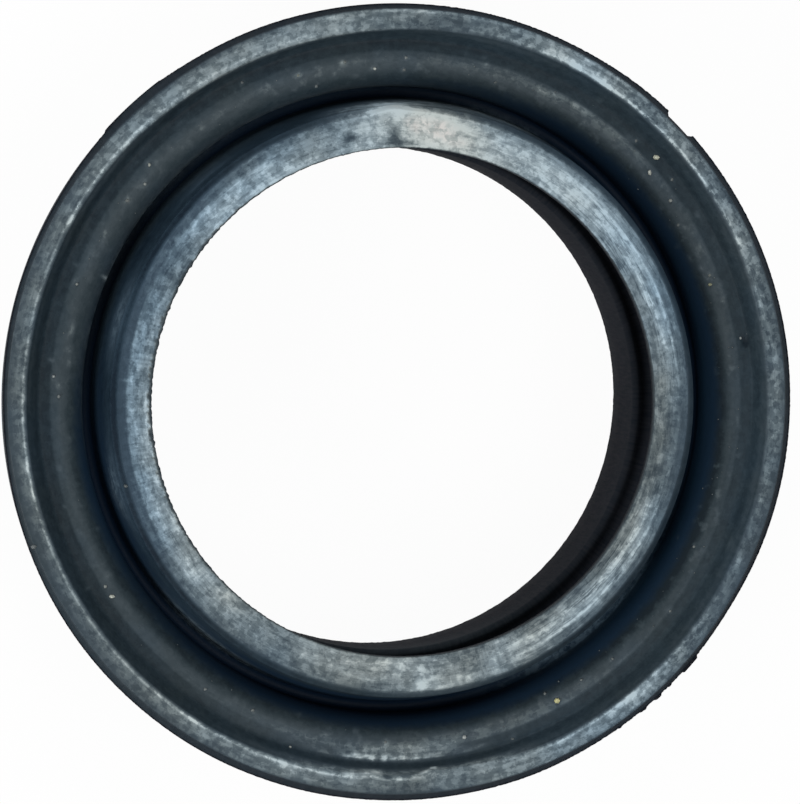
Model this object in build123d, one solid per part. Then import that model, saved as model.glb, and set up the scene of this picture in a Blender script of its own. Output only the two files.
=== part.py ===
"""Seal ring of a claw hose coupling, moulded in one piece of black rubber.

The ring lies on its flat back face: the origin is at the centre of that face, +Z points at the
sealing face, and the waterway runs along Z. Millimetres.

The whole ring is one revolved section. Round the section from the back face it has
  - the back bead, with a lead-in bevel, which snaps into the coupling half,
  - the neck, the groove that the coupling's inner lip sits in,
  - the flange, drafted up to the mould's parting line and bevelled from there to the rim,
  - the relief groove, a ledge whose shoulder falls into a crevice, which lets the collar flex,
  - the sealing collar, which stands highest and seals against the facing coupling half,
  - the pressure pocket, an undercut behind the collar that lets the water push it out,
  - the back lip, whose bore carries the water on.
"""
from build123d import *
import os
from math import radians, tan

# ---- waterway and back lip ----
BORE_RADIUS = 10.8           # of the back lip and of the collar
BACK_LIP_HEIGHT = 5.1        # back face to the lip's top edge
BACK_EDGE_RADIUS = 0.35      # where the waterway leaves the back face
LIP_EDGE_RADIUS = 0.2        # on the lip's top edge

# ---- pressure pocket behind the collar ----
POCKET_DEPTH = 1.05          # radial, from the bore
POCKET_HEIGHT = 3.8          # lip's top edge to the collar's mouth
POCKET_FALL = 1.2            # how far the lip's top slopes down into the pocket
POCKET_WALL = 2.4            # straight outer wall, before it leans in to the mouth
POCKET_ROOT_RADIUS = 0.35

# ---- sealing collar ----
MOUTH_HEIGHT = 0.6           # straight bore under the sealing face
MOUTH_EDGE_RADIUS = 0.12
COLLAR_WIDTH = 1.45          # flat sealing face
COLLAR_STAND = 1.1           # sealing face above the rim
COLLAR_BEVEL = 0.3           # on the face's outer edge, both ways
FLANK_RUN = 0.4              # how far the collar's flank leans out down to the crevice

# ---- relief groove, from the collar's foot out to the rim ----
CREVICE_WIDTH = 0.45
CREVICE_DEPTH = 2.8          # below the rim
CREVICE_ROOT_RADIUS = 0.2
SHOULDER_RUN = 1.15          # from the crevice out to the ledge's crest
SHOULDER_FALL = 0.2          # crest down to the shoulder's corner
SHOULDER_RADIUS = 1.1        # rounds that corner into the crevice
CREST_DEPTH = 0.65           # ledge's inner edge, below the rim
CREST_RADIUS = 0.1
LEDGE_WIDTH = 0.85
LEDGE_ROOT_DEPTH = 0.8       # ledge's outer edge, below the rim
LEDGE_ROOT_RADIUS = 0.25
RIM_WALL_RUN = 0.55          # steep wall from the ledge up to the rim

# ---- flange ----
RIM_WIDTH = 0.77             # flat front face
RIM_EDGE_RADIUS = 0.1        # on the face's inner edge
BEVEL_WIDTH = 0.36           # radial, from the rim out to the parting line
BEVEL_HEIGHT = 0.45
FLANGE_THICKNESS = 2.5       # rim to underside
FLANGE_DRAFT = 12.0          # degrees, below the parting line
FLANGE_EDGE_RADIUS = 0.3

# ---- neck and back bead ----
NECK_WIDTH = 2.0             # axial
NECK_DEPTH = 0.9             # radial, below the bead
NECK_ROOT_RADIUS = 0.4
BEAD_STEP = 1.7              # radial, from the parting line in to the bead
BEAD_EDGE_RADIUS = 0.25
LEAD_IN_HEIGHT = 0.8
LEAD_IN_ANGLE = 25.0         # degrees from the axis

SIDE_IN_USE = 0.95           # share of a side that its two roundings may take together

# ---- levels along Z ----
mouth_z = BACK_LIP_HEIGHT + POCKET_HEIGHT
face_z = mouth_z + MOUTH_HEIGHT
rim_z = face_z - COLLAR_STAND
parting_z = rim_z - BEVEL_HEIGHT
crest_z = rim_z - CREST_DEPTH
ledge_root_z = rim_z - LEDGE_ROOT_DEPTH
shoulder_z = crest_z - SHOULDER_FALL
crevice_z = rim_z - CREVICE_DEPTH
flange_z = rim_z - FLANGE_THICKNESS
bead_z = flange_z - NECK_WIDTH
pocket_z = BACK_LIP_HEIGHT - POCKET_FALL
pocket_top_z = pocket_z + POCKET_WALL

# ---- radii, from the waterway outwards ----
pocket_r = BORE_RADIUS + POCKET_DEPTH
face_r = BORE_RADIUS + COLLAR_WIDTH
flank_r = face_r + COLLAR_BEVEL
crevice_in_r = flank_r + FLANK_RUN
crevice_out_r = crevice_in_r + CREVICE_WIDTH
crest_r = crevice_out_r + SHOULDER_RUN
ledge_r = crest_r + LEDGE_WIDTH
rim_in_r = ledge_r + RIM_WALL_RUN
rim_out_r = rim_in_r + RIM_WIDTH
parting_r = rim_out_r + BEVEL_WIDTH
flange_r = parting_r - (parting_z - flange_z) * tan(radians(FLANGE_DRAFT))
bead_r = parting_r - BEAD_STEP
neck_r = bead_r - NECK_DEPTH
lead_in_r = bead_r - LEAD_IN_HEIGHT * tan(radians(LEAD_IN_ANGLE))

# ---- the section's corners: radius from the axis, height, rounding ----
SECTION = [
    (BORE_RADIUS, 0, BACK_EDGE_RADIUS),
    (lead_in_r, 0, 0),
    (bead_r, LEAD_IN_HEIGHT, BEAD_EDGE_RADIUS),
    (bead_r, bead_z, BEAD_EDGE_RADIUS),
    (neck_r, bead_z, NECK_ROOT_RADIUS),
    (neck_r, flange_z, NECK_ROOT_RADIUS),
    (flange_r, flange_z, FLANGE_EDGE_RADIUS),
    (parting_r, parting_z, 0),
    (rim_out_r, rim_z, 0),
    (rim_in_r, rim_z, RIM_EDGE_RADIUS),
    (ledge_r, ledge_root_z, LEDGE_ROOT_RADIUS),
    (crest_r, crest_z, CREST_RADIUS),
    (crevice_out_r, shoulder_z, SHOULDER_RADIUS),
    (crevice_out_r, crevice_z, CREVICE_ROOT_RADIUS),
    (crevice_in_r, crevice_z, CREVICE_ROOT_RADIUS),
    (flank_r, face_z - COLLAR_BEVEL, 0),
    (face_r, face_z, 0),
    (BORE_RADIUS, face_z, MOUTH_EDGE_RADIUS),
    (BORE_RADIUS, mouth_z, 0),
    (pocket_r, pocket_top_z, POCKET_ROOT_RADIUS),
    (pocket_r, pocket_z, POCKET_ROOT_RADIUS),
    (BORE_RADIUS, BACK_LIP_HEIGHT, LIP_EDGE_RADIUS),
]


def fitted_radii(corners):
    """Each corner's rounding, cut down where a side is too short for the two at its ends."""
    points = [Vector(radius, height) for radius, height, rounding in corners]
    count = len(points)
    sides = [points[(i + 1) % count] - points[i] for i in range(count)]
    # a rounding starts this far from its corner, on both sides
    setbacks = []
    for i, (radius, height, rounding) in enumerate(corners):
        turn = sides[i - 1].get_angle(sides[i])
        setbacks.append(rounding * tan(radians(turn / 2)))
    shares = []
    for i, side in enumerate(sides):
        taken = setbacks[i] + setbacks[(i + 1) % count]
        shares.append(min(1, SIDE_IN_USE * side.length / taken) if taken else 1)
    return [corners[i][2] * min(shares[i - 1], shares[i]) for i in range(count)]


def make_seal_ring():
    """The section turned once round the waterway's axis."""
    points = [(radius, height) for radius, height, rounding in SECTION]
    outline = FilletPolyline(points, radius=fitted_radii(SECTION), close=True)
    ring = revolve(Plane.XZ * make_face(outline), axis=Axis.Z)
    ring.label = "seal_ring"
    return ring


os.makedirs("parts", exist_ok=True)
export_step(make_seal_ring(), "parts/seal_ring.step")
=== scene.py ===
"""Looks of a claw coupling's seal: one ring of moulded black rubber, rubbed grey where it seals.

The ring's surface is its CAD half section, swept round the waterway's axis with the small
unevenness of moulded and used rubber. On it sit the fringe of flash at the mould's parting line
and the grit that clings in the groove. Sizes are in millimetres and angles in degrees, counted
from +X towards +Y; they are turned into metres and radians where a mesh is made.
"""
import bpy
import numpy as np
from mathutils import Matrix, Vector


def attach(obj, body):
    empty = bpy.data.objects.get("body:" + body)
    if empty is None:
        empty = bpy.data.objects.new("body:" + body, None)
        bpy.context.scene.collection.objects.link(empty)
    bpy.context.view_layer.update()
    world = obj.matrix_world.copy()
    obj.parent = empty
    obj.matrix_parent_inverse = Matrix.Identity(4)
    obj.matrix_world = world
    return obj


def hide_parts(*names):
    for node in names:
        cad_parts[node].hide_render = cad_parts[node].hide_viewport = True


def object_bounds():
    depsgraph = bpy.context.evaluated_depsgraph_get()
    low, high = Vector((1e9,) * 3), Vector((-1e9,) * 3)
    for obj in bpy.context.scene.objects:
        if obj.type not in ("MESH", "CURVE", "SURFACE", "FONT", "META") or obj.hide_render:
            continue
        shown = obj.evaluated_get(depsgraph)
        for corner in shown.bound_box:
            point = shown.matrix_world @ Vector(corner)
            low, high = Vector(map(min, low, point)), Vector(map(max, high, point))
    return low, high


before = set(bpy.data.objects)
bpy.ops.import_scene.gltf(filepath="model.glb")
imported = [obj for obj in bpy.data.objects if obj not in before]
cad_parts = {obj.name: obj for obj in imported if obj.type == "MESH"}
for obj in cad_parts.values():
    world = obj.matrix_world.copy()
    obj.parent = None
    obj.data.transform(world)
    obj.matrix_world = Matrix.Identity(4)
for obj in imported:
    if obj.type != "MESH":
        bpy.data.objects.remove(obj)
cad_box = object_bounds()

MM = 0.001  # metres in a millimetre
NODE = "seal_ring"

# ---- how finely the ring's surface is divided ----
RING_STEPS = 720  # round the axis
GUARD = 0.03  # a sharp corner of the front keeps a point this far off on each side
SHARP = 14.0  # degrees of turn from which a corner of the section counts as sharp
ROUNDING_STEP = 30.0  # degrees of turn that a rounded corner may take per point
SAMPLES = 400  # points at which a stretch of the section is looked at
LEVEL = 0.001  # heights and radii this close count as the same
HUNDRED = 100  # heights of lobes, and the last columns of tables, are in hundredths

# ---- how far from true the moulding is ----
TIP_RADIUS = 17.03  # of the flash at the parting line, on average
FLASH_REACH = 0.05  # of the flash beyond the body
NOTCH = (41.6, 46.4)  # angles between which the flash and the edge under it are gone
NOTCH_DEPTH = 0.14
MOUTH_RAG = 0.045  # tattered edge of the collar's mouth
BACK_RAG = 0.05  # and of the waterway's edge at the back
BORE_WALL = 11.5  # inside this radius a point belongs to the waterway
PIT = (9.2, 15.3, 0.5, 0.1)  # angle, radius, half angle and half width of a pit on the ledge
PIT_DEPTH = 0.12


# ==== numbers on the circle

def turn(angle, centre):
    """Signed angle from centre to angle, in degrees between -180 and 180."""
    return (angle - centre + 180) % 360 - 180


def hump(distance, width):
    """Smooth bump: 1 at distance 0, fading as exp(-(distance / width)^2)."""
    return np.exp(-(distance / width) ** 2)


def ramp(value, low, high):
    """Smooth step: 0 below low, 1 above high, and 3t^2 - 2t^3 between them."""
    share = np.clip((value - low) / (high - low), 0, 1)
    return share * share * (3 - 2 * share)


def lobes(angle, *parts):
    """Sum of humps on the circle; each part is its angle, half width and height in hundredths."""
    return sum(size / HUNDRED * hump(turn(angle, centre), width) for centre, width, size in parts)


def stretch(angle, start, end, soft=0.4):
    """1 from the start angle to the end angle and 0 elsewhere, with edges soft degrees wide."""
    middle, half = (start + end) / 2, (end - start) / 2
    return 1 - ramp(np.abs(turn(angle, middle)), half - soft / 2, half + soft / 2)


def ripple(angle, lowest, highest, seed, fade=0.5):
    """Sum of cosines of whole multiples of the angle, with random phases, scaled to -1..1.

    The waves run from lowest to highest per turn and shrink as (wave / lowest)^-fade.
    """
    rng = np.random.default_rng(seed)
    waves = np.arange(lowest, highest + 1)
    phases = rng.uniform(0, 2 * np.pi, waves.size)
    sizes = rng.uniform(0.5, 1, waves.size) * (waves / lowest) ** -fade
    total = (sizes * np.cos(np.radians(angle)[:, None] * waves + phases)).sum(1)
    return total / np.abs(total).max()


# ==== meshes

def link_mesh(name, vertices, faces, smooth=True):
    """New mesh object at the origin from arrays of vertices in millimetres and of faces."""
    mesh = bpy.data.meshes.new(name)
    mesh.from_pydata((vertices * MM).tolist(), [], faces.tolist())
    mesh.polygons.foreach_set("use_smooth", np.full(len(mesh.polygons), smooth))
    mesh.update()
    piece = bpy.data.objects.new(name, mesh)
    bpy.context.scene.collection.objects.link(piece)
    return piece


def swept_faces(rows, columns):
    """Quads of a grid closed both ways: rows go round the axis, columns along the section."""
    row, column = np.meshgrid(np.arange(rows), np.arange(columns), indexing="ij")
    next_row, next_column = (row + 1) % rows, (column + 1) % columns
    corners = [
        row * columns + column,
        next_row * columns + column,
        next_row * columns + next_column,
        row * columns + next_column,
    ]
    return np.stack(corners, -1).reshape(-1, 4)


def swept(angle, radius, height):
    """Vertices of a swept section: each grid point at its angle, radius and height."""
    turned = np.radians(angle)
    return np.stack([radius * np.cos(turned), radius * np.sin(turned), height], -1).reshape(-1, 3)


def paint(piece, name, values):
    """Stores one number per vertex as a named attribute of the piece's mesh."""
    attribute = piece.data.attributes.new(name, "FLOAT", "POINT")
    attribute.data.foreach_set("value", np.ascontiguousarray(values, dtype=np.float32).ravel())


# ==== the ring's section

def cad_section():
    """Closed outline of the CAD ring in its +X half-plane, as radii and heights.

    The mesh's edges that lie in that half-plane are chained end to end, from the back face's
    inner edge outwards.
    """
    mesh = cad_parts[NODE].data
    places = np.zeros(len(mesh.vertices) * 3)
    mesh.vertices.foreach_get("co", places)
    places = places.reshape(-1, 3) / MM
    ends = np.zeros((len(mesh.edges), 2), int)
    mesh.edges.foreach_get("vertices", ends.ravel())
    flat = (np.abs(places[:, 1]) < 1e-4) & (places[:, 0] > 0)
    points, index = np.unique(np.round(places[:, [0, 2]], 4), axis=0, return_inverse=True)
    index = index.ravel()
    links = {}
    for a, b in index[ends[flat[ends].all(1)]]:
        if a != b:
            links.setdefault(a, set()).add(b)
            links.setdefault(b, set()).add(a)
    on_back = [i for i in links if points[i, 1] < LEVEL]
    start = min(on_back, key=lambda i: points[i, 0])
    chain = [start, max(links[start], key=lambda i: points[i, 0])]
    while chain[-1] != start:
        chain.append(next(i for i in links[chain[-1]] if i != chain[-2]))
    return points[chain[:-1]]


class Section:
    """The ring's outline and landmarks, and the points along it that the surface is swept from.

    Distances along it are called across: they start at the parting line, the ring's outermost
    edge, and run inwards over the front.
    """

    def __init__(self, outline):
        self.outline = np.roll(outline, -outline[:, 0].argmax(), axis=0)
        self.closed = np.vstack([self.outline, self.outline[:1]])
        sides = np.diff(self.closed, axis=0)
        heading = np.degrees(np.arctan2(sides[:, 1], sides[:, 0]))
        bend = np.abs(turn(heading, np.roll(heading, 1)))
        sharp = bend > SHARP
        self.along = np.append(0, np.cumsum(np.linalg.norm(sides, axis=1)))
        self.turned = np.append(np.cumsum(np.where(sharp, 0, bend)), 0)
        self.turned[-1] = self.turned[-2]
        self.find_landmarks()
        ends = self.along[np.append(np.nonzero(sharp)[0], -1)]
        self.across = np.concatenate([self.divided(a, b) for a, b in zip(ends[:-1], ends[1:])])
        self.radius, self.height = self.place(self.across)
        self.from_edge = np.minimum(self.across, self.back - self.across)

    def place(self, across):
        """Radius and height of the outline at distances along it."""
        return [np.interp(across, self.along, self.closed[:, k]) for k in (0, 1)]

    def at_radius(self, radius, start, end):
        """Distance between start and end at which the outline, running inwards, has this radius."""
        fine = np.linspace(start, end, SAMPLES)
        return float(np.interp(-radius, -self.place(fine)[0], fine))

    def find_landmarks(self):
        """Reads from the outline where the rim, the ledge, the crevice and the collar's face lie."""
        (radius, height), along = self.outline.T, self.along
        face = np.nonzero(height > height.max() - LEVEL)[0]
        crevice = height[:face[0]].argmin()
        rim = np.nonzero(height[:crevice] > height[:crevice].max() - LEVEL)[0]
        foot = rim[-1] + np.argmax(np.diff(height[rim[-1]:crevice]) > 0)
        crest = foot + height[foot:crevice].argmax()
        mouth = face[-1] + np.argmax(radius[face[-1]:] < radius.min() + LEVEL)
        self.rim_out, self.rim_in = along[rim[0]], along[rim[-1]]
        self.wall_foot, self.crest, self.crevice = along[foot], along[crest], along[crevice]
        self.face_out, self.face_in, self.mouth = along[face[0]], along[face[-1]], along[mouth]
        self.back = along[-1]

    def pitch(self, across):
        """Longest step between points: fine on the rim, the ledge and the sealing face."""
        limits = [self.rim_out, self.rim_in + 0.4, self.wall_foot, self.crest + 1.0]
        limits += [self.face_out - 0.5, self.mouth, self.mouth + 2.5, self.back - 1.9]
        pitches = [0.18, 0.1, 0.18, 0.12, 0.4, 0.1, 0.6, 3.0]
        return np.select([across < limit for limit in limits], pitches, 0.6)

    def divided(self, start, end):
        """Distances from start, a sharp corner, up to but not at end, the next one.

        Points are spent on length and on turning: their count grows as the integral of
        1 / pitch plus the turn over ROUNDING_STEP, and they stand where that sum passes evenly
        spaced values.
        """
        fine = np.linspace(start, end, SAMPLES)
        bends = np.diff(np.interp(fine, self.along, self.turned)) / ROUNDING_STEP
        wanted = np.append(0, np.cumsum(np.diff(fine) / self.pitch(fine[1:]) + bends))
        count = max(1, int(np.ceil(wanted[-1])))
        at = np.interp(np.linspace(0, wanted[-1], count + 1), wanted, fine)[:-1]
        if end - start > 4 * GUARD and start < self.mouth:
            at = np.sort(np.concatenate([at, [start + GUARD, end - GUARD]]))
        return at


section = Section(cad_section())
ACROSS = section.across
RIM_OUT, RIM_IN, WALL_FOOT, CREST = section.rim_out, section.rim_in, section.wall_foot, section.crest
CREVICE, FACE_OUT, FACE_IN, MOUTH = section.crevice, section.face_out, section.face_in, section.mouth


def near(centre, width):
    """Hump along the section round one of its landmarks."""
    return hump(ACROSS - centre, width)


def spread(weight, amounts):
    """Grid of a weight for each point of the section times an amount for each angle."""
    return weight[None, :] * np.atleast_1d(amounts)[:, None]


# ==== the moulded ring

def tip_radius(angle):
    """Radius that the flash at the parting line reaches: not quite round, and trimmed in places."""
    uneven = lobes(
        angle, (20, 35, 3), (62, 9, -4), (90, 24, -9), (131, 6, 9), (150, 12, -6), (183, 15, -9),
        (235, 32, 6), (292, 12, 2), (328, 8, -6),
    )
    return TIP_RADIUS + uneven + 0.008 * ripple(angle, 6, 24, 3)


def ring_surface(angle):
    """Radii and heights of the swept surface, one row per angle and one column per section point.

    To the section's own radius and height are added shifts that fade away from the landmark
    they belong to: the out-of-round rim, the torn mouth of the collar, and low waves all over.
    """
    radius = np.tile(section.radius, (angle.size, 1))
    height = np.tile(section.height, (angle.size, 1))
    body = tip_radius(angle) - FLASH_REACH - radius.max()
    body -= NOTCH_DEPTH * stretch(angle, *NOTCH)
    rim_outer = lobes(angle, (130, 11, -8), (185, 40, 8), (95, 20, -2))
    # the rim's inner edge has a wide stretch and a torn tongue
    rim_inner = lobes(
        angle, (100, 24, -14), (124, 9, -5), (205, 42, 6), (28, 26, 3), (265.4, 2, -10), (268, 1, 4),
        (275.2, 1.3, -10), (279, 7, -12),
    )
    on_front = ACROSS < MOUTH
    # the collar has a swollen scar on its outer edge and a ragged mouth
    scar = lobes(angle, (87, 6, 10), (92.5, 3, 14)) + 0.02 * ripple(angle, 3, 30, 7)
    ragged = (0.35 + lobes(angle, (180, 55, 65))) * ripple(angle, 50, 330, 11, fade=0.2)
    torn_back = hump(section.height, 0.35) * (section.radius < BORE_WALL)
    for weight, amounts in [
        (hump(section.from_edge, 0.4), body),
        (near(RIM_OUT, 0.16), rim_outer),
        (near(RIM_IN, 0.34), rim_inner),
        (near(RIM_IN, 0.2) * on_front, 0.012 * ripple(angle, 20, 160, 5)),
        (near(FACE_OUT, 0.4), scar),
        (near(MOUTH, 0.14), MOUTH_RAG * ragged),
        (near(CREST, 0.6), 0.02 * ripple(angle, 3, 26, 13)),
        (torn_back, -BACK_RAG * (1 + ripple(angle, 40, 300, 17, fade=0.3)) / 2),
    ]:
        radius += spread(weight, amounts)
    rim_waves = on_front * near((RIM_OUT + RIM_IN) / 2, 0.5)
    face_waves = near((FACE_OUT + FACE_IN) / 2, 0.55)
    for weight, amounts in [
        (rim_waves, -0.008 * (1 + ripple(angle, 5, 60, 19))),
        (face_waves, -0.01 * (1 + ripple(angle, 5, 50, 23))),
        (near(CREST, 0.5), 0.02 * ripple(angle, 4, 40, 29)),
        (near(WALL_FOOT, 0.22), 0.035),
    ]:
        height += spread(weight, amounts)
    distance = np.hypot(turn(angle, PIT[0])[:, None] / PIT[2], (section.radius - PIT[1]) / PIT[3])
    on_ledge = (ACROSS > WALL_FOOT - 0.3) & (ACROSS < CREST)
    height -= PIT_DEPTH * hump(distance, 1) * on_ledge
    return radius, height


# ---- rubbed marks: angle, radius past the part's base, half angle, half width and strength;
# lengths and strengths are in hundredths ----
RIM_BASE = 1600
FACE_BASE = 1100
GROOVE_BASE = 1400
RIM_MARKS = [
    (15, 15, 2, 10, 12), (26, 14, 4, 8, 12), (42.6, 13, 2.6, 9, 30), (35, 14, 2.5, 7, 10),
    (57, 17, 2.6, 11, 28), (62, 25, 3.6, 15, 42), (66, 22, 1.6, 12, 20), (60, 63, 6, 7, 20),
    (57.5, 50, 3, 5, -15), (88, 65, 6, 5, 22), (100.5, 58, 1.6, 6, 28), (98.5, -8, 0.9, 8, 20),
    (100, 20, 1.6, 25, 14), (107, 15, 2, 30, 10), (110.5, -8, 1.8, 10, 22), (117, 10, 3, 28, 14),
    (124, 5, 2.5, 14, 16), (130, 2, 3.6, 9, 18), (136.4, 5, 1.3, 9, 32), (135, 35, 0.8, 16, 15),
    (139.6, 2, 1.2, 8, 16), (146, 3, 2.6, 7, 12), (151.3, 4, 1.2, 7, 34), (148.6, 3, 0.5, 7, 22),
    (175.8, 15, 0.8, 7, 32), (183.3, 13, 0.9, 8, 16), (189.8, 17, 1, 8, 44), (193.8, 15, 0.8, 8, 32),
    (186.4, 15, 0.7, 8, 16), (199.5, 15, 1.5, 7, 14), (212, 15, 3, 6, 10), (228, 14, 4, 6, 8),
    (236, 15, 2.7, 8, 42), (239, 60, 0.6, 16, 20), (248, 15, 2, 10, 22), (252.3, 26, 1.5, 18, 32),
    (257, 14, 1.6, 8, 14), (262.5, -2, 1.2, 8, 30), (266.4, -14, 0.7, 9, 62), (264.8, -4, 1, 8, 34),
    (268, 0, 0.7, 10, -25), (270, 10, 0.8, 6, 22), (272.5, 0, 0.9, 8, 26), (273.9, -8, 0.8, 8, 50),
    (275.3, -21, 0.6, 9, 85), (283, 20, 0.9, 20, 24), (289.5, 18, 1, 10, 16), (292, 13, 1.2, 8, 20),
    (295.2, 16, 1, 13, 36), (304, 20, 1, 15, 18), (307.6, 19, 2.6, 14, 44), (311, 30, 1, 20, 26),
    (313.6, 10, 1, 10, 30), (308, 55, 5, 12, 12), (319, 20, 1, 7, 14), (325.5, 22, 0.8, 7, 14),
    (334.7, 25, 0.6, 12, 14), (345, 25, 1.2, 8, 14),
]
FACE_MARKS = [
    (82, 95, 4, 26, 22), (84, 35, 4.5, 40, 14), (81.8, 102, 0.8, 16, 18), (79, 85, 1.2, 12, 18),
    (88.5, 135, 4, 10, 26), (91.5, 110, 0.8, 20, 12), (72, 95, 0.6, 22, -22), (69, 70, 0.6, 6, -16),
    (64, 10, 2, 16, -10), (92, 2, 2, 18, -50), (91.9, 42, 1.1, 26, -42), (88.8, 0, 1.5, 10, -42),
    (92.8, 85, 0.5, 16, -22), (101.7, 47, 1.3, 15, -56), (103.2, 10, 0.7, 20, -16), (97, 45, 2.2, 30, 8),
    (125, 55, 12, 22, 6), (140, 72, 2.4, 7, 20), (134, 22, 3.4, 14, 16), (122, 60, 2, 16, 10),
    (118, 15, 4, 18, 10), (147, 50, 1, 22, -14), (151.8, 80, 1.1, 20, -18), (143.5, 35, 1.4, 30, -10),
    (168.5, 57, 0.9, 14, 16), (175, 85, 0.5, 26, 16), (178.8, 8, 1.6, 10, 30), (184, 58, 1.4, 12, 16),
    (186, 8, 4, 10, 20), (188, 27, 0.6, 6, 16), (197, 8, 1.8, 10, 16), (191, 8, 0.6, 12, -12),
    (203, 50, 1.6, 14, 10), (215, 50, 1.4, 14, 14), (218.8, 52, 2.2, 10, 34), (218, 80, 3, 14, 14),
    (208, 10, 3, 10, 12), (226.8, 20, 0.8, 24, 22), (224, 85, 1, 10, 10), (246.4, 85, 0.6, 20, -18),
    (247.4, 54, 0.5, 7, 22), (256.5, 30, 1.6, 22, 10), (265.5, 8, 1.6, 10, 32), (269, 15, 1.6, 14, 34),
    (273.2, 35, 1.3, 22, 22), (273.6, 105, 1.2, 20, 42), (277, 120, 1.2, 10, 26), (276, 80, 1.6, 10, 12),
    (281.3, 90, 0.7, 20, 32), (283.2, 105, 0.5, 20, 34), (279.6, 48, 0.5, 8, 20), (285, 50, 2.4, 22, -12),
    (289.5, 50, 0.5, 40, 18), (290.8, 35, 0.5, 34, 18), (294.6, 90, 1.3, 12, 26), (295, 30, 1.3, 14, 28),
    (298.3, 40, 0.9, 16, 30), (298, 88, 0.5, 16, 24), (292, 2, 3, 8, 18), (308, -2, 1.6, 6, 18),
    (47, 8, 3, 9, 10), (51, 6, 3, 9, 16), (45, 70, 1.2, 6, -18), (27.5, 72, 1.6, 9, -18),
    (21.5, 70, 2, 7, -18), (40.5, 112, 0.8, 10, 16), (12.8, 50, 3.6, 9, 20), (345, 20, 0.5, 10, -12),
    (310, 52, 4, 12, -12), (350, 50, 12, 16, -12), (38, 85, 6, 10, 12), (340, 65, 5, 14, -7),
    (350, 36, 5, 12, 9), (250, 38, 5, 12, 7), (140, 92, 5, 12, -7), (280, 92, 5, 12, 7), (20, 10, 6, 10, -8),
    (80, 115, 4, 10, -7),
]
GROOVE_MARKS = [
    (273.1, 127, 0.7, 8, 80), (267.8, 127, 0.5, 10, 110), (263.7, 127, 0.7, 8, 80), (270.8, 125, 0.6, 8, 85),
    (264.9, 120, 0.6, 8, 45), (276.8, 124, 1.6, 7, 45), (281, 126, 2, 6, 26), (262, 128, 0.8, 7, 60),
    (263, 116, 0.5, 8, 45), (258, 126, 2, 5, 22), (269.3, 126, 0.4, 8, 60), (265.9, 127, 0.5, 9, 110),
    (274.6, 124, 0.5, 7, 45), (279.2, 112, 1.4, 5, 30), (283.5, 120, 1.2, 6, 24), (268, 102, 1.2, 6, 26),
    (273, 100, 3, 6, 36), (278, 100, 2, 6, 30), (264.7, 95, 0.4, 9, 34), (270, 85, 8, 16, 10),
    (268, 56, 0.5, 10, 34), (262.7, 18, 0.4, 14, 20), (257.5, 56, 0.5, 10, 22), (50, 74, 10, 12, 12),
    (62, 70, 4, 12, 16), (64.5, 62, 1.2, 9, 22), (57, 80, 1.5, 12, 12), (33, 78, 12, 12, 5),
    (80, 66, 12, 14, 6), (48, 102, 0.9, 16, 18), (46.9, 116, 0.4, 10, 20), (47.3, 85, 0.5, 10, -12),
    (31.2, 122, 0.5, 10, 18), (38.4, 118, 0.5, 7, 16), (32.5, 98, 1.4, 6, 10), (16.5, 74, 0.3, 8, 16),
    (25.3, 74, 0.3, 9, 16), (21.4, 58, 0.5, 8, 20), (23, 34, 0.5, 10, 18), (28.2, -20, 0.5, 12, 26),
    (31.4, 28, 0.5, 10, 20), (25.5, 6, 0.7, 7, 18), (35.5, 8, 0.4, 9, 18), (55.7, 152, 0.3, 14, 16),
    (55.8, 28, 0.3, 9, 20), (58.6, 78, 0.6, 10, 16), (75.6, 110, 0.5, 10, 14), (75, 88, 0.3, 8, 16),
    (72.6, 18, 0.3, 9, 20), (86.4, 32, 0.4, 10, 18), (88.8, 62, 0.3, 9, 26), (89, 10, 0.4, 10, 26),
    (94.2, 20, 0.7, 12, 18), (99.2, 60, 0.6, 12, 30), (96.5, 55, 1.2, 12, 8), (107, 50, 0.7, 10, 26),
    (101, 20, 0.3, 10, 16), (104.6, -16, 0.3, 10, 18), (113.3, 42, 0.8, 18, 16), (116.2, 112, 0.4, 12, 12),
    (122.5, 40, 1, 14, 12), (128, 104, 1.2, 10, 12), (126, 34, 0.6, 12, 12), (132.2, 55, 0.3, 16, 14),
    (130, 20, 1, 10, 10), (136.6, 70, 0.5, 12, 20), (143.4, 42, 0.6, 14, 26), (139.4, 26, 0.5, 12, 16),
    (150.2, 50, 0.5, 12, 22), (155.4, 60, 1.2, 10, 10), (159.6, 72, 0.8, 12, 18), (167.6, 32, 1.2, 10, 22),
    (170.8, 28, 0.6, 14, 24), (173, 18, 1, 10, 22), (173, 96, 0.4, 12, 22), (175.8, 82, 0.5, 9, 20),
    (177, 58, 0.6, 12, 10), (186, 16, 0.5, 10, 18), (190.8, 76, 0.5, 12, 16), (197, 96, 0.4, 8, 18),
    (201.8, 78, 0.4, 9, 16), (202.6, -10, 0.3, 12, 16), (210.4, 40, 0.4, 11, 20), (210.5, 146, 0.3, 16, 14),
    (244.5, 58, 0.5, 12, 18), (252.4, -6, 0.4, 10, 14), (289.2, 130, 0.3, 14, 18), (297, 12, 0.4, 8, 18),
    (309.6, 50, 0.5, 8, 18), (303.6, 40, 0.4, 8, 20), (322.6, 94, 0.4, 8, 20), (336.8, 166, 1.6, 5, 12),
    (334, -34, 0.8, 6, 22), (320, -20, 0.5, 12, 16), (338, -8, 0.5, 7, 16), (340.6, -8, 0.4, 8, 18),
    (334, 36, 0.4, 8, 22), (312, 85, 14, 10, 5), (9, 132, 0.7, 12, -20), (157, -54, 0.35, 24, 85),
    (157, 100, 0.3, 12, 14),
]

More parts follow.
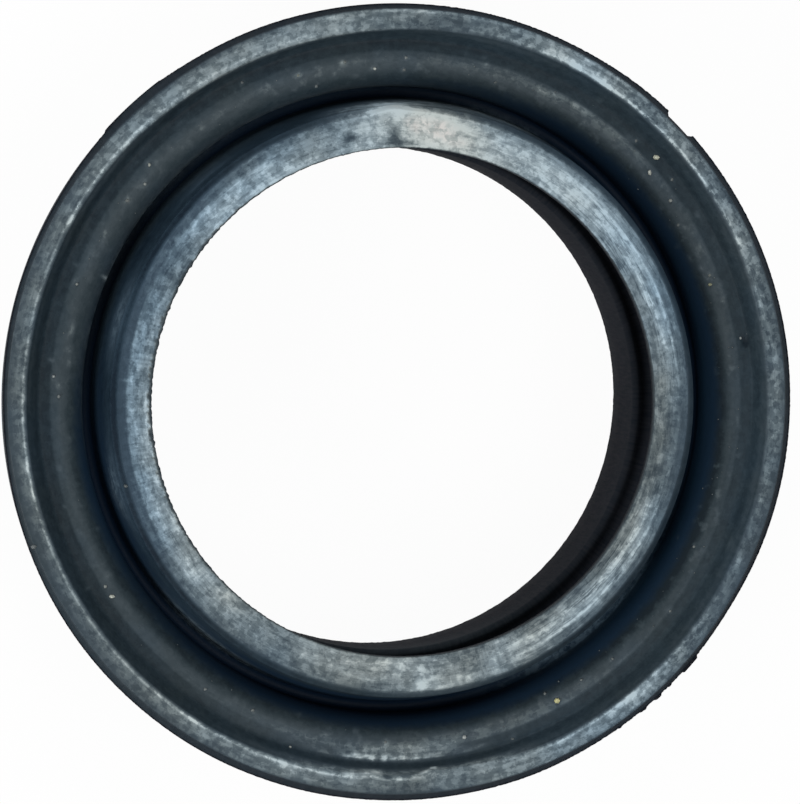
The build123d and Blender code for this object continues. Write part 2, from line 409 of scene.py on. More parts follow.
# ---- bands all round of rubbing, painted light and shade: middle, half width; strength, lobes in hundredths ----
BANDS = [
    # the rim's outer bevel, the collar's, and the top of the groove's wall
    (RIM_OUT - 0.3, 0.2, 2, (12, 26, 6), (322, 20, 2), (115, 12, 2)),
    (FACE_OUT - 0.22, 0.2, 0, (48, 18, 13), (80, 9, 24), (93, 7, 74), (276, 12, 15), (190, 40, -15),
     (140, 16, -8), (310, 16, -6), (12, 20, 5)),
    (RIM_IN + 0.26, 0.2, 0, (262, 15, 31), (283, 8, 30), (340, 60, 8), (75, 12, 10), (142, 13, 17),
     (172, 20, 7)),
    # the ledge: painted shade at its root, its top, and its crest's roll, with painted light and shade
    (WALL_FOOT - 0.06, 0.1, 0, (105, 48, -5)),
    ((WALL_FOOT + CREST) / 2 - 0.1, 0.34, 0, (165, 60, -4), (240, 12, 5), (262, 15, 22), (273, 9, 16)),
    (WALL_FOOT + 0.06, 0.12, 0, (268, 8, 20)),
    (CREST + 0.25, 0.3, 4),
    (CREST + 0.55, 0.45, 0, (112, 48, 9), (332, 32, -15), (215, 34, -6), (28, 28, -6)),
    (CREST + 0.2, 0.3, 0, (330, 28, -6), (238, 24, -5)),
    (CREST + 0.85, 0.3, 0, (282, 20, -10), (108, 34, -6), (168, 8, 5)),
    # the shoulder above the crevice, painted lighter where light reaches down to it
    (CREST + 2.05, 0.85, 0, (98, 30, 17), (150, 32, 56), (190, 20, 8)),
    # the collar's flank, rubbed, with painted highlights and shade
    (FACE_OUT - 3.2, 0.9, 0, (68, 15, 34), (86, 8, 12), (231, 15, 28)),
    (FACE_OUT - 2.2, 0.9, 0, (66, 14, 14), (82, 10, 13), (131, 7, 11), (197, 8, 16), (226, 10, 12),
     (170, 40, -8), (104, 8, -6)),
    (FACE_OUT - 1.2, 0.9, 0, (60, 10, 4), (76, 12, 22), (84, 6, 10), (92, 5, 102), (101, 5, 42),
     (163, 8, 33), (196, 9, 24), (272, 14, -5)),
    (FACE_OUT - 1.5, 0.2, 0, (131, 7, 30)),
]

CLEAN = 0.1  # amount of rubbing at which the rubber is its clean black
FRINGE = 0.29  # and on the torn fringe of the mouth
POCKET_WALL = 12.2  # inside this radius lies the waterway with its pocket
POCKET_MIDDLE = 5.8  # height of the pocket's middle


def marks(angle, rows, base):
    """Sum of soft elliptical marks: each a hump in angle and radius of its own reach and strength."""
    total = np.zeros((angle.size, section.radius.size))
    for centre, past, half_angle, half_width, strength in rows:
        along = strength / HUNDRED * hump(turn(angle, centre), half_angle)
        off = section.radius - (base + past) / HUNDRED
        total += spread(hump(off, half_width / HUNDRED), along)
    return total


def lit_floor(angle):
    """Painted light on stretches of the crevice's floor, from 0 to 1: by its outer wall, all over, inside.
    """
    stretches = [
        (CREVICE - 0.5, 0.5, (142, 30, 90), (90, 16, 30)),
        (CREVICE, 0.9, (316, 28, 95)),
        (CREVICE + 0.5, 0.4, (66, 14, 80), (232, 16, 45)),
    ]
    return sum(spread(near(at, width), lobes(angle, *parts)) for at, width, *parts in stretches)


def lit_pocket(angle):
    """Painted light in the pocket behind the collar's mouth, from 0 to 1, most on one side."""
    pocket = hump(section.height - POCKET_MIDDLE, 1.3) * (ACROSS > MOUTH)
    return spread(pocket * (section.radius < POCKET_WALL), 0.25 + lobes(angle, (280, 26, 60)))


def mouth_fringe(angle):
    """1 on the torn dark fringe along the collar's mouth, widest on one side, and 0 elsewhere."""
    torn = 1 + 0.6 * ripple(angle, 30, 300, 67, fade=0.3)
    start = MOUTH - 0.05 - lobes(angle, (178, 58, 17)) * torn
    return ramp(ACROSS - start[:, None], -0.04, 0.04) * (ACROSS < MOUTH)


def rubbed_and_lit_field(angle):
    """Rubbing, painted light and painted shade on the front: the rim's and face's levels, margins and marks.
    """
    # the rim is rubbed a little way over its inner edge, most where it is stretched and torn
    over = 0.02 * ripple(angle, 60, 340, 53, fade=0.2) + lobes(
        angle, (112, 20, 10), (205, 40, 3), (266, 1.6, 10), (275.3, 1, 12),
    )
    fade = 0.07 + lobes(angle, (108, 24, 38), (264, 12, 36), (281, 9, 32), (8, 14, 20), (205, 30, 4))
    inner = (ACROSS - over[:, None] - RIM_IN + 0.12) / (0.12 + fade)[:, None]
    start = lobes(angle, (192, 30, 26), (155, 14, 10), (190, 8, 6), (212, 8, -4))
    outer = ACROSS - RIM_OUT + start[:, None]
    rim = ramp(outer, -0.16, 0.08) * (1 - ramp(inner, 0, 1))
    face = ramp(ACROSS, FACE_OUT - 0.24, FACE_OUT + 0.08)
    face = face * (1 - ramp(ACROSS, MOUTH - 0.12, MOUTH - 0.02))
    # the levels hold the rubbing and a painted highlight where the brushed faces catch the light
    rim_level = 0.34 + lobes(
        angle, (30, 24, 7), (61, 9, 16), (82, 8, -7), (104, 12, 17), (121, 5, 5), (128, 14, 10),
        (140, 5, 6), (205, 22, -5), (248, 16, 10), (270, 10, -4), (290, 14, 12), (308, 12, 14),
        (331, 8, -5), (340, 14, -4), (12, 8, -3),
    )
    face_level = 0.52 + lobes(
        angle, (352, 17, -17), (50, 30, 27), (82, 9, 18), (97, 8, 12), (130, 16, 15), (151, 8, -12),
        (163, 10, -3), (201, 8, 5), (218, 10, 10), (240, 10, -6), (272, 9, 6), (284, 6, -6),
        (312, 22, 12), (335, 8, 5), (72, 7, 6),
    )
    field = CLEAN + rim * rim_level[:, None] + spread(face, face_level)
    for centre, width, level, *parts in BANDS:
        field += spread(near(centre, width), level / HUNDRED + lobes(angle, *parts))
    # the outer halves of the rim and the face stay darker
    outer_rim = 1 - ramp(ACROSS, RIM_OUT + 0.02, RIM_OUT + 0.36)
    field -= rim * spread(outer_rim, 0.12 - lobes(
        angle, (86, 15, 32), (72, 6, 8), (54, 12, 12), (290, 18, 12), (195, 20, -8), (112, 6, -8),
    ))
    margin = 0.1 + lobes(
        angle, (132, 13, 26), (186, 30, 29), (348, 14, 8), (50, 20, 22), (315, 18, 20), (16, 9, 10),
        (162, 7, 10), (216, 9, 9), (262, 8, 10), (78, 6, 6), (104, 6, 6), (88, 8, -14),
        (277, 11, -14), (151, 7, -10), (291, 6, -10),
    )
    edge = FACE_OUT + 0.05 * ripple(angle, 12, 160, 59, fade=0.3) + lobes(
        angle, (58, 24, -11), (124, 10, 7), (220, 9, 7), (248, 10, -9), (320, 12, -11),
    )
    outer_face = 1 - ramp(ACROSS - edge[:, None], 0.28, 0.42)
    field -= outer_face * spread(face, margin)
    inner_face = ramp(ACROSS, FACE_IN - 0.34, FACE_IN - 0.12) * face
    field -= spread(inner_face, lobes(
        angle, (350, 42, 5), (30, 18, 18), (314, 17, 28), (288, 12, 10), (122, 18, -15),
        (250, 8, -10), (0, 8, -6), (187, 10, -14), (86, 9, -9), (55, 12, 6),
    ))
    field += spread(near(WALL_FOOT - 0.06, 0.1), 0.02 * ripple(angle, 5, 40, 61))
    # the ledge's crest is lighter, with a crisp outer edge: its own tone and painted light where it faces up
    crest_start = section.at_radius(14.98, WALL_FOOT, CREST + 1)
    crest_end = section.at_radius(14.52, WALL_FOOT, CREST + 1)
    crest_line = ramp(ACROSS, crest_start, crest_start + 0.1)
    crest_line = crest_line * (1 - ramp(ACROSS, crest_end, crest_end + 0.4))
    field += spread(crest_line, 0.1 + lobes(
        angle, (225, 34, 4), (62, 20, 10), (289, 21, 15), (12, 24, 4), (267, 7, -5),
    ))
    # painted light on the crevice's floor and in the pocket behind the collar's mouth
    field += 0.45 * lit_floor(angle) + 0.18 * lit_pocket(angle)
    for rows, base, within in [
        (RIM_MARKS, RIM_BASE, (rim > 0.01) & (ACROSS < WALL_FOOT)),
        (FACE_MARKS, FACE_BASE, face > 0.01),
        (GROOVE_MARKS, GROOVE_BASE, (ACROSS > RIM_IN + 0.3) & (ACROSS < CREVICE)),
    ]:
        field += marks(angle, rows, base) * within
    return field + mouth_fringe(angle) * (FRINGE - field)


CHALK_MARKS = [
    (84, 85, 4.4, 26, 50), (82.5, 35, 4.4, 42, 55), (76, 20, 3, 30, 22), (88, 75, 2.2, 36, 25),
    (92, 145, 3, 16, 20), (256, 30, 4, 30, 12), (92.2, 4, 2.2, 20, -70), (91.9, 42, 1, 22, -60),
    (89, 0, 1.4, 9, -50),
]
CHALK_FLOOR = 9.0  # the chalky patch lies above this height


def ring_fields(angle):
    """The named numbers that the ring's finish reads, by angle, by point of the section, or both."""
    edge_line = 0.12 + 0.1 * ripple(angle, 30, 220, 31, fade=0.1) + lobes(
        angle, (45, 18, 22), (138, 16, 16), (185, 24, 8), (238, 22, 16), (310, 12, 14),
        (92, 16, -14), (340, 22, -15), (5, 12, -12), (264, 7, 20), (285, 8, -20), (56, 12, 20),
        (150, 12, 10), (190, 14, 12),
    )
    streaked = 0.3 + lobes(angle, (30, 22, 60), (318, 20, 60), (195, 30, -10), (165, 12, -10))
    breaks = 0.72 + 0.75 * ripple(angle, 8, 90, 37, fade=0.3)
    double = stretch(angle, 301, 338, 2) + 0.6 * stretch(angle, 6, 29, 5)
    stroked = 0.22 + lobes(angle, (196, 30, 55), (287, 8, 70), (168, 12, 30))
    # cool: bluer above 0, browner below
    cool = 0.4 + lobes(angle, (25, 25, 35), (165, 45, 70), (265, 40, -30), (84, 12, -50))
    collar = ramp(ACROSS, CREVICE, FACE_OUT - 0.3)
    on_rim = 1 - ramp(ACROSS, RIM_IN - 0.1, RIM_IN + 0.1)
    groove_hue = 0.25 * (1 - collar - on_rim) + 0.4 * on_rim
    groove_hue += 0.4 * near(FACE_OUT - 1.4, 1.5) - 0.3 * near(CREST + 0.35, 0.6)
    inner_half = ramp(ACROSS, FACE_IN - 0.9, FACE_IN - 0.1)
    neutral = spread(on_rim, lobes(angle, (195, 44, 26), (272, 26, 16), (308, 14, -35)))
    neutral += spread(inner_half, lobes(angle, (350, 40, 45), (180, 46, 45)))
    neutral += 0.8 * ramp(ACROSS, MOUTH, MOUTH + 1) - lit_floor(angle)
    neutral += 0.9 * mouth_fringe(angle)
    # painted shade: navy over the groove's hollow, from past the crest to the collar's flank, less where
    # light reaches it
    hollow = ramp(ACROSS, CREST + 0.1, CREST + 1.2)
    hollow = hollow * (1 - ramp(ACROSS, FACE_OUT - 2.6, FACE_OUT))
    # painted shade: the crevice's floor, deep navy except where painted light lies on it
    floor = section.height < section.height[np.abs(ACROSS - CREVICE).argmin()] + 0.3
    floor = floor & (ACROSS > CREST) & (ACROSS < FACE_OUT)
    grain = 0.64 + 0.14 * ramp(ACROSS, FACE_OUT + 0.4, FACE_OUT + 0.7)
    dusty = 0.4 + lobes(angle, (70, 56, 30), (110, 22, 30), (345, 16, 45), (18, 20, 30))
    inner_dust = lobes(angle, (350, 12, 30), (15, 15, 60))
    bevel = 1 - ramp(section.from_edge, RIM_OUT - 0.16, RIM_OUT + 0.04)
    waterway = ramp(ACROSS, MOUTH - 0.02, MOUTH + 0.1)
    waterway = waterway * (section.radius < POCKET_WALL) * (section.height > 0.02)
    # less brown where painted light lies in the pocket
    waterway = waterway * (1 - lit_pocket(angle))
    return {
        "across": ACROSS,
        # rubbing, together with painted light and shade in the groove and on the faces
        "rubbed": rubbed_and_lit_field(angle),
        "edge_line": edge_line[:, None],
        "streaked": streaked[:, None],
        "double_streak": (double * np.clip(breaks, 0, 1.5))[:, None],
        "cool": groove_hue + spread(collar, cool) - neutral,
        "hollow": spread(hollow, 1 - lobes(angle, (110, 44, 85), (160, 26, 55), (218, 20, 35))),
        "sunken": floor * (1 - np.clip(lit_floor(angle), 0, 1)),
        # painted light: a lit blue on the shoulder's lower wall above the crevice
        "sheen": spread(
            near(CREST + 2.1, 0.75), lobes(angle, (345, 36, 90), (152, 30, 35), (200, 24, 20))
        ),
        "stroked": stroked[:, None],
        "grain": grain + spread(on_rim, lobes(angle, (30, 46, 28), (322, 40, 14))),
        "dusty": spread(near(CREST + 0.2, 0.75), dusty)
        + spread(near(CREST + 0.55, 0.35), inner_dust),
        "chalky": marks(angle, CHALK_MARKS, FACE_BASE) * (section.height > CHALK_FLOOR),
        "browned": spread(bevel, 0.6 - lobes(angle, (205, 30, 40), (160, 14, 20)))
        + np.maximum(waterway, 0.3 * mouth_fringe(angle)),
    }


def moulded_ring():
    """The whole ring as one closed swept surface, with the fields that its finish reads."""
    angle = np.arange(RING_STEPS) * 360 / RING_STEPS
    radius, height = ring_surface(angle)
    faces = swept_faces(*radius.shape)
    piece = link_mesh("moulded_ring", swept(angle[:, None], radius, height), faces)
    for name, values in ring_fields(angle).items():
        paint(piece, name, np.broadcast_to(values, radius.shape))
    return piece


# ==== finishes

class Signal:
    """A node's output in Python sums: each operator adds the Math node that works it out."""

    def __init__(self, finish, socket):
        self.finish = finish
        self.socket = socket

    def __add__(self, other):
        return self.finish.math("ADD", self, other)

    def __sub__(self, other):
        return self.finish.math("SUBTRACT", self, other)

    def __rsub__(self, other):
        return self.finish.math("SUBTRACT", other, self)

    def __mul__(self, other):
        return self.finish.math("MULTIPLY", self, other)

    __radd__ = __add__
    __rmul__ = __mul__


class Finish:
    """One material under construction: its node tree, and the one way in which nodes are added."""

    def __init__(self, name):
        self.material = bpy.data.materials.new(name)
        self.material.use_nodes = True
        self.tree = self.material.node_tree
        self.tree.nodes.clear()

    def node(self, kind, settings=(), inputs=(), output=0):
        """Adds a node, its settings first and then a value or a link for each input named."""
        node = self.tree.nodes.new(kind)
        for name, setting in dict(settings).items():
            if name == "stops":
                self.set_stops(node.color_ramp, setting)
            else:
                setattr(node, name, setting)
        for name, value in dict(inputs).items():
            if isinstance(value, Signal):
                self.tree.links.new(value.socket, node.inputs[name])
            else:
                node.inputs[name].default_value = value
        return Signal(self, node.outputs[output]) if node.outputs else None

    @staticmethod
    def set_stops(color_ramp, stops):
        """Gives a colour ramp its stops, as pairs of position and colour."""
        while len(color_ramp.elements) < len(stops):
            color_ramp.elements.new(1)
        for element, (position, colour) in zip(color_ramp.elements, stops):
            element.position = position
            element.color = (*colour, 1)

    def math(self, operation, *values):
        return self.node("ShaderNodeMath", {"operation": operation}, enumerate(values))

    def vector(self, operation, *values, **named):
        inputs = dict(enumerate(values)) | named
        return self.node("ShaderNodeVectorMath", {"operation": operation}, inputs)

    def blend(self, factor, first, second, how="MIX"):
        """Colour between two others by a factor, or one laid on the other in another way."""
        settings = {"data_type": "RGBA", "blend_type": how, "clamp_factor": True}
        return self.node("ShaderNodeMix", settings, {0: factor, 6: first, 7: second}, output=2)

    def place(self):
        """The piece's own coordinates, in millimetres."""
        return self.vector("SCALE", self.node("ShaderNodeTexCoord", output=3), Scale=1 / MM)

    def field(self, name):
        """A named number that the mesh carries on its vertices."""
        return self.node("ShaderNodeAttribute", {"attribute_name": name}, output=2)

    def limited(self, value, low=0.0, high=1.0):
        """Value moved from the range low..high to 0..1, and kept there."""
        inputs = {"Value": value, "From Min": low, "From Max": high}
        return self.node("ShaderNodeMapRange", {"clamp": True}, inputs)

    def noise(self, where, size, detail=2.0, roughness=0.5):
        """Noise about 0, from -0.5 to 0.5, whose lumps are about size units wide."""
        inputs = {"Vector": where, "Scale": 1 / size, "Detail": detail, "Roughness": roughness}
        return self.node("ShaderNodeTexNoise", inputs=inputs) - 0.5

    def surface(self, **inputs):
        """Ends the material in a Principled shader with these inputs."""
        names = {name.replace("_", " "): value for name, value in inputs.items()}
        shader = self.node("ShaderNodeBsdfPrincipled", inputs=names)
        self.node("ShaderNodeOutputMaterial", inputs={"Surface": shader})
        return self.material


MEAN_RADIUS = 14.0
# amounts of rubbing and their colours
RUBBED_STOPS = [
    (0, (0.009, 0.016, 0.023)),
    (0.12, (0.023, 0.037, 0.048)),
    (0.3, (0.052, 0.073, 0.09)),
    (0.5, (0.106, 0.139, 0.157)),
    (0.75, (0.228, 0.282, 0.308)),
    (1, (0.465, 0.55, 0.58)),
]
COOL_TINT = (0.86, 1, 1.15, 1)
WARM_TINT = (1.07, 1, 0.93, 1)
CHALK = (0.72, 0.75, 0.72, 1)
PINK_CHALK = (0.68, 0.64, 0.61, 1)
# painted shade in the groove's hollows
NAVY_SHADE = (0.01, 0.023, 0.043, 1)
# painted shade on the crevice's floor
SUNKEN_SHADE = (0.006, 0.015, 0.032, 1)
# painted light on the shoulder's lower wall
SHOULDER_LIGHT = (0.03, 0.08, 0.14, 1)
CRACK = (0.33, 0.35, 0.34, 1)
BROWN_BLACK = (0.005, 0.0075, 0.0125, 1)
BROWN_GREY = (0.018, 0.0185, 0.0235, 1)


def rubber(name):
    """Black rubber, clean and black, rubbed to a mottled grey where it bears; painted bluish shade in its
    hollows.

    The amount of rubbing, which also carries painted light and shade, is the mesh's smooth field
    plus textures: fine speckle, lumps, short strokes across the section, and long streaks round the
    ring. One ramp turns it into colour.
    """
    finish = Finish(name)
    field, noise, blend, limited = finish.field, finish.noise, finish.blend, finish.limited
    place = finish.place()
    across = field("across")
    # the rubbing field, which also carries painted light and shade
    rubbed = field("rubbed")
    around = finish.vector("NORMALIZE", finish.vector("MULTIPLY", place, (1, 1, 0)))
    lift = finish.node("ShaderNodeCombineXYZ", inputs={"Z": across})

    def wound(length, width):
        """Coordinates in which a unit is length mm round the ring and width mm along its section."""
        circle = finish.vector("SCALE", around, Scale=MEAN_RADIUS / length)
        section_part = finish.vector("SCALE", lift, Scale=1 / width)
        return finish.vector("ADD", circle, section_part)

    def band(centre, half_width):
        """1 at a distance along the section, falling to 0 at half_width on both sides."""
        off = finish.math("ABSOLUTE", across - centre)
        return 1 - limited(off, 0, half_width)

    speckle = noise(place, 0.13, 3, 0.6)
    lumps = noise(place, 0.42, 4, 0.66)
    clouds = noise(place, 2.6, 2)
    strokes = noise(wound(0.15, 1.1), 1, 3, 0.6)
    streaks = noise(wound(2.6, 0.12), 1, 4, 0.68)
    winding = finish.math("ABSOLUTE", noise(wound(4.0, 0.2), 1, 2))
    scratch = 1 - limited(winding, 0, 0.025)

    def patches(where, size, softness):
        """Crisp two-toned patches, -0.5 or 0.5, that meet over a band of noise softness wide."""
        return limited(noise(where, size, 3, 0.6), -softness, softness) - 0.5

    bearing = limited(rubbed, 0.22, 0.46)
    sealing = limited(across, FACE_OUT - 0.2, FACE_OUT + 0.1)
    line = band(RIM_IN - 0.11, 0.1) * field("edge_line")
    outer_streak = band(section.at_radius(11.83, FACE_OUT, FACE_IN), 0.1)
    inner_streak = band(section.at_radius(11.42, FACE_OUT, FACE_IN), 0.2)
    double = (outer_streak * 0.34 + inner_streak * 0.24) * field("double_streak")
    flakes = patches(wound(0.7, 0.34), 1, 0.03) * 0.12 + patches(wound(1.7, 0.22), 1, 0.04) * 0.08
    streaked = field("streaked") * sealing
    mottles = patches(place, 0.32, 0.03) * (0.18 - streaked * 0.13)
    texture = speckle * 0.2 + lumps * 0.38 + clouds * 0.24 + mottles + flakes
    stroked = field("stroked") * (sealing + 0.25)
    texture = texture + strokes * stroked * 0.42
    texture = texture + (streaks * 0.72 - scratch * 0.3) * streaked
    fluff = noise(place, 0.5, 3, 0.5)
    dusting = limited(fluff + clouds * 0.25, 0.09, 0.22) * field("dusty")
    amount = rubbed + (line + double * sealing) * (texture * 2.0 + 1)
    amount = amount + texture * (bearing * field("grain") + 0.16) + dusting * 0.19

    worn = finish.node("ShaderNodeValToRGB", {"stops": RUBBED_STOPS}, {"Fac": amount})
    hue = noise(place, 2.2, 2) * 0.95 + field("cool")
    tint = blend(hue, WARM_TINT, COOL_TINT)
    worn = blend(1.0, worn, tint, "MULTIPLY")
    unrubbed = 1 - limited(amount, 0.16, 0.42)
    # painted shade: navy laid in the hollows where the rubber is not rubbed
    hollow = limited(field("hollow") + lumps * 0.5, 0.25, 0.75)
    worn = blend(hollow * unrubbed, worn, NAVY_SHADE)
    # painted light: a lit blue on the shoulder's lower wall
    worn = blend(field("sheen"), worn, SHOULDER_LIGHT)
    # painted shade: deep navy on the crevice's floor
    worn = blend(field("sunken"), worn, SUNKEN_SHADE)
    chalk = field("chalky") * (1 + speckle + lumps * 2.4)
    crumpled = finish.vector("ADD", place, finish.vector("SCALE", around, Scale=lumps * 0.7))
    crumbs = {"Vector": crumpled, "Scale": 1.8}
    pebbles = finish.node("ShaderNodeTexVoronoi", {"feature": "DISTANCE_TO_EDGE"}, crumbs)
    flake = blend(limited(clouds, -0.05, 0.05), CHALK, PINK_CHALK)
    chalky = blend(limited(pebbles + mottles, 0, 0.2), CRACK, flake)
    worn = blend(limited(chalk, 0.1, 0.9), worn, chalky)
    charred = blend(0.5 + strokes * 2.2, BROWN_BLACK, BROWN_GREY)
    browned = field("browned") * unrubbed
    colour = blend(browned, worn, charred)

    roughness = 0.44 + limited(amount) * 0.3 + speckle * 0.1 + field("browned") * 0.5
    relief = speckle * 0.4 + lumps * 0.6 + strokes * stroked * 0.3
    relief = relief + streaks * streaked * 0.5
    bump = {"Strength": 0.6, "Distance": 0.03 * MM, "Height": relief}
    normal = finish.node("ShaderNodeBump", inputs=bump)
    return finish.surface(
        Base_Color=colour, Roughness=roughness, Normal=normal, Specular_IOR_Level=0.08
    )


GRIT_PALE = (0.9, 0.95, 0.92, 1)
GRIT_YELLOW = (0.9, 0.84, 0.32, 1)
GRIT_DULL = (0.07, 0.085, 0.09, 1)


def grit_finish(name):
    """Sand grains: pale, or yellowish by each grain's own tint."""
    finish = Finish(name)
    place = finish.place()
    tint = finish.field("tint")
    bright = finish.field("bright")
    colour = finish.blend(tint, GRIT_PALE, GRIT_YELLOW)
    colour = finish.blend(bright * bright, GRIT_DULL, colour)
    spots = finish.noise(place, 0.05, 2)
    colour = finish.blend(0.5 + spots, colour, GRIT_DULL)
    return finish.surface(Base_Color=colour, Roughness=0.5 + spots * 0.3)


# ==== flash and grit

FLASH_STEPS = 2160
FLASH_THICKNESS = 0.05
NIB_REACH = 0.07
# stretches where the flash stands out further, in degrees, and how strongly
NIBS = [
    (304.1, 304.7, 0.5), (308.1, 309.2, 0.8), (310.9, 312.1, 1.0), (313.6, 314.2, 0.5),
    (316.6, 319.6, 1.4), (127, 137.6, 0.7),
]


def parting_flash():
    """Fringe of rubber squeezed out at the parting line: a thin closed ring with a ragged rim.

    Its tip follows the uneven outline, less a saw of short waves, with taller nibs where the
    mould's halves met badly, and drops to nothing in the notch.
    """
    angle = np.arange(FLASH_STEPS) * 360 / FLASH_STEPS
    tip = tip_radius(angle)
    rag = 0.5 + 0.5 * ripple(angle, 120, 700, 41, fade=0.15)
    roughness = 0.022 + lobes(angle, (60, 25, 2.5), (132, 8, 2), (170, 24, -1.2), (310, 14, 3))
    nibs = sum(size * stretch(angle, start, end) for start, end, size in NIBS)
    reach = tip - roughness * rag + NIB_REACH * nibs
    gone = stretch(angle, *NOTCH)
    base = tip - FLASH_REACH - 0.05 - NOTCH_DEPTH * gone
    reach = np.minimum(reach * (1 - gone) + (base + 0.02) * gone, cad_box[1].x / MM)
    level = section.closed[0, 1]
    half = FLASH_THICKNESS / 2
    radius = np.stack([base, reach, reach - 0.01, base], 1)
    levels = [level + half, level + half / 2, level - half / 2, level - half]
    height = np.tile(levels, (angle.size, 1))
    faces = swept_faces(*radius.shape)[:, ::-1]
    piece = link_mesh("parting_flash", swept(angle[:, None], radius, height), faces)
    for name, value in {"across": 0.1, "rubbed": CLEAN, "browned": 1.0, "stroked": 1.0}.items():
        paint(piece, name, np.full(radius.shape, value))
    return piece


# ---- grains: angle and radius; size, how yellow and how bright, in hundredths ----
GRAINS = [
    (42.7, 15.27, 14.5, 35, 100), (41.7, 14.62, 13, 15, 100), (19.9, 14.42, 11, 90, 60),
    (298.2, 14.6, 14.5, 90, 100), (211.8, 14.78, 12.5, 10, 60), (213.8, 14.78, 14, 20, 95),
    (201, 16.8, 18, 5, 30), (35.7, 14.56, 10, 10, 70), (38.3, 15.18, 9, 20, 35), (9.9, 15.14, 9, 0, 70),
    (136.6, 14.66, 9.5, 20, 70), (139.5, 14.27, 9.5, 10, 60), (94, 14.18, 10.5, 10, 90),
    (99, 14.6, 11, 10, 40), (159.9, 14.66, 9.5, 10, 60), (175.6, 14.8, 9.5, 0, 60),
    (178.9, 14.55, 10, 0, 50), (196.2, 12.4, 12, 10, 20), (252.5, 15.42, 10.5, 10, 70),
    (244.5, 14.52, 10, 10, 40), (281.3, 14.66, 10.5, 0, 85), (289, 15.33, 8, 10, 30),
    (333.8, 14.35, 8, 10, 50), (322.5, 14.94, 8, 10, 30), (88.8, 14.1, 9.5, 10, 30),
    (88.6, 14.62, 8.5, 0, 40), (21.4, 14.55, 8, 30, 40), (46.9, 15.15, 8.5, 20, 30),
    (235.8, 14.75, 9, 0, 40), (267.9, 14.56, 8.5, 0, 40), (303.6, 14.4, 8, 10, 40), (310, 14.5, 8, 10, 40),
    (143.6, 14.42, 11, 20, 30), (107.2, 14.5, 8, 50, 45), (116.2, 15.12, 7.5, 10, 25),
    (72.7, 14.2, 8.5, 10, 30), (104.5, 13.85, 8, 10, 25), (297, 14.1, 7.5, 20, 30), (31.5, 14.28, 8, 10, 25),
]
DUST_GRAINS = 90
GRAIN_SCALE = 0.85
FACE_RADIUS = 13  # a grain inside this radius lies on the sealing face
FACE_SINK = 0.15  # and is sunk this far into it
CORNERS = 12  # of an icosahedron


def icosahedron():
    """The twelve corners and twenty faces of an icosahedron of radius 1, faces outwards."""
    golden = (1 + 5 ** 0.5) / 2
    a, b = 1 / np.hypot(1, golden), golden / np.hypot(1, golden)
    corners = [(0, i * a, j * b) for i in (-1, 1) for j in (-1, 1)]
    corners = np.array([np.roll(corner, k) for k in range(3) for corner in corners])
    edge = 2 * a
    near_pairs = np.linalg.norm(corners[:, None] - corners[None, :], axis=2) < 1.1 * edge
    faces = [
        (i, j, k)
        for i in range(CORNERS) for j in range(i + 1, CORNERS) for k in range(j + 1, CORNERS)
        if near_pairs[i, j] and near_pairs[j, k] and near_pairs[i, k]
    ]
    faces = np.array(faces)
    first, second, third = (corners[faces[:, k]] for k in range(3))
    inward = (np.cross(second - first, third - first) * first).sum(1) < 0
    faces[inward] = faces[inward][:, ::-1]
    return corners, faces


def front_height(radius):
    """Height of the ring's front, from the parting line to the shoulder, at each radius."""
    across = np.linspace(0, CREST + 1.6, 900)
    at_radius, height = section.place(across)
    inwards = radius[:, None] < at_radius[None, :]
    return height[np.minimum(inwards.sum(1), across.size - 1)]


def groove_grit():
    """Grains of sand in the groove: irregular icosahedra, with the large ones listed one by one."""
    rng = np.random.default_rng(47)
    dust = np.column_stack([
        rng.choice([30, 50, 110, 150, 215, 305, 335], DUST_GRAINS) + rng.normal(0, 22, DUST_GRAINS),
        np.clip(rng.normal(14.5, 0.4, DUST_GRAINS), 13.8, 15.6),
        rng.uniform(0.015, 0.04, DUST_GRAINS),
        rng.uniform(0, 0.4, DUST_GRAINS),
        rng.uniform(0.05, 0.3, DUST_GRAINS),
    ])
    sand = np.array(GRAINS) / (1, 1, HUNDRED, HUNDRED, HUNDRED)
    angle, radius, size, tint, bright = np.vstack([sand, dust]).T
    size = size * GRAIN_SCALE
    height = front_height(radius)
    height[radius < FACE_RADIUS] = section.height.max() - FACE_SINK
    corners, faces = icosahedron()
    count = angle.size
    jitter = rng.uniform(0.7, 1.15, (count, CORNERS, 1))
    squash = rng.uniform(0.75, 1.25, (count, 1, 3)) * (1, 1, 0.8)
    centres = swept(angle, radius, height + 0.35 * size)
    vertices = centres[:, None, :] + corners * jitter * squash * size[:, None, None]
    all_faces = faces[None] + CORNERS * np.arange(count)[:, None, None]
    piece = link_mesh("groove_grit", vertices.reshape(-1, 3), all_faces.reshape(-1, 3), smooth=False)
    paint(piece, "tint", np.repeat(tint, CORNERS))
    paint(piece, "bright", np.repeat(bright, CORNERS))
    return piece


# ==== stage, light and camera

FLOOR_WIDTH = 3000.0
FLOOR_GLOW = 0.96
FLOOR_GAP = 0.02  # keeps the floor from coinciding with the ring's flat back
SOFTBOX_DISTANCE = 500
SOFTBOX_SIZE = 240
CAMERA_DISTANCE = 360
SENSOR_WIDTH = 36
IMAGE_WIDTH = 800
IMAGE_SCALE = 23.52  # share of that width which a millimetre takes at the aim point


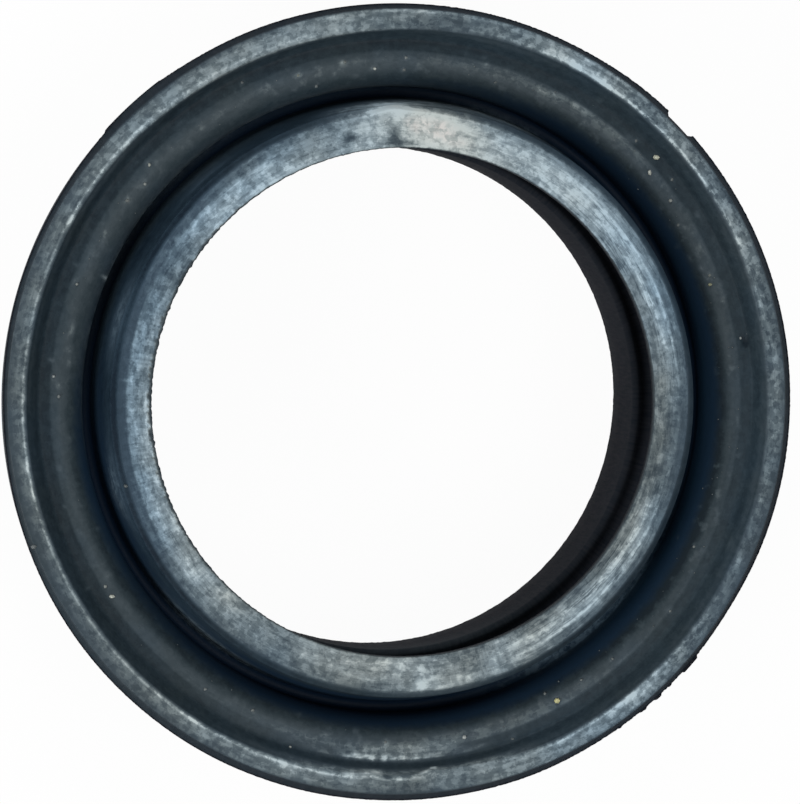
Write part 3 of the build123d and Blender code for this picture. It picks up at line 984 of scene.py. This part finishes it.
def stage_floor():
    """Wide pale floor, which shows nearly white to the camera and keeps the ring's soft shadow."""
    edge = FLOOR_WIDTH / 2
    corners = [(-edge, -edge), (edge, -edge), (edge, edge), (-edge, edge)]
    corners = np.column_stack([corners, np.full(4, -FLOOR_GAP)])
    floor = link_mesh("floor", corners, np.array([(0, 1, 2, 3)]))
    finish = Finish("pale_floor")
    camera_ray, glossy_ray, clear_ray = (
        finish.node("ShaderNodeLightPath", output=f"Is {kind} Ray")
        for kind in ("Camera", "Glossy", "Transmission")
    )
    seen = finish.limited(camera_ray + glossy_ray + clear_ray)
    lit = finish.node("ShaderNodeBsdfDiffuse", inputs={"Color": (0.9, 0.9, 0.9, 1)})
    glow = finish.node("ShaderNodeEmission", inputs={"Color": (1, 1, 1, 1), "Strength": 1.0})
    shader = finish.node("ShaderNodeMixShader", inputs={0: seen * FLOOR_GLOW, 1: lit, 2: glow})
    finish.node("ShaderNodeOutputMaterial", inputs={"Surface": shader})
    floor.data.materials.append(finish.material)


def heading(azimuth, elevation):
    """Unit vector towards an azimuth and an elevation."""
    turned, raised = np.radians([azimuth, elevation])
    return Vector((np.cos(raised) * np.cos(turned), np.cos(raised) * np.sin(turned), np.sin(raised)))


def softbox(name, azimuth, elevation, level):
    """Square area lamp aimed at the ring; level is the brightness it gives a white surface facing it."""
    lamp = bpy.data.lights.new(name, "AREA")
    lamp.size = SOFTBOX_SIZE * MM
    lamp.energy = level * (np.pi * SOFTBOX_DISTANCE * MM) ** 2
    holder = bpy.data.objects.new(name, lamp)
    towards = heading(azimuth, elevation)
    turned = towards.to_track_quat("Z", "Y").to_matrix().to_4x4()
    holder.matrix_world = Matrix.Translation(towards * SOFTBOX_DISTANCE * MM) @ turned
    bpy.context.scene.collection.objects.link(holder)


def soft_world(level):
    """Even white light from all round, of this strength."""
    world = bpy.data.worlds.new("studio")
    world.use_nodes = True
    bpy.context.scene.world = world
    background = world.node_tree.nodes["Background"]
    background.inputs["Color"].default_value = (1, 1, 1, 1)
    background.inputs["Strength"].default_value = level


def camera(azimuth, elevation, aim):
    """Camera on the line from the aim point, upright with +Y up in the picture."""
    eye = heading(azimuth, elevation)
    right = Vector((0, 1, 0)).cross(eye).normalized()
    up = eye.cross(right)
    turned = Matrix((right, up, eye)).transposed().to_4x4()
    data = bpy.data.cameras.new("camera")
    data.sensor_fit = "HORIZONTAL"
    data.lens = IMAGE_SCALE * CAMERA_DISTANCE * SENSOR_WIDTH / IMAGE_WIDTH
    data.clip_end = 10
    holder = bpy.data.objects.new("camera", data)
    holder.matrix_world = Matrix.Translation((Vector(aim) + eye * CAMERA_DISTANCE) * MM) @ turned
    bpy.context.scene.collection.objects.link(holder)
    bpy.context.scene.camera = holder


# ==== the scene

ring_finish = rubber("rubbed_rubber")
ring = moulded_ring()
flash = parting_flash()
for piece in (ring, flash):
    piece.data.materials.append(ring_finish)
    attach(piece, "root")
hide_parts(NODE)
grit = groove_grit()
grit.data.materials.append(grit_finish("sand_grit"))
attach(grit, "root")

stage_floor()
soft_world(0.2)
softbox("left_softbox", azimuth=210, elevation=35, level=0.58)
softbox("far_softbox", azimuth=98, elevation=36, level=0.36)
softbox("top_softbox", azimuth=315, elevation=68, level=0.36)
camera(azimuth=166.9, elevation=80.23, aim=(-0.01, -0.014, 8.4))
bpy.context.scene.view_settings.view_transform = "Standard"
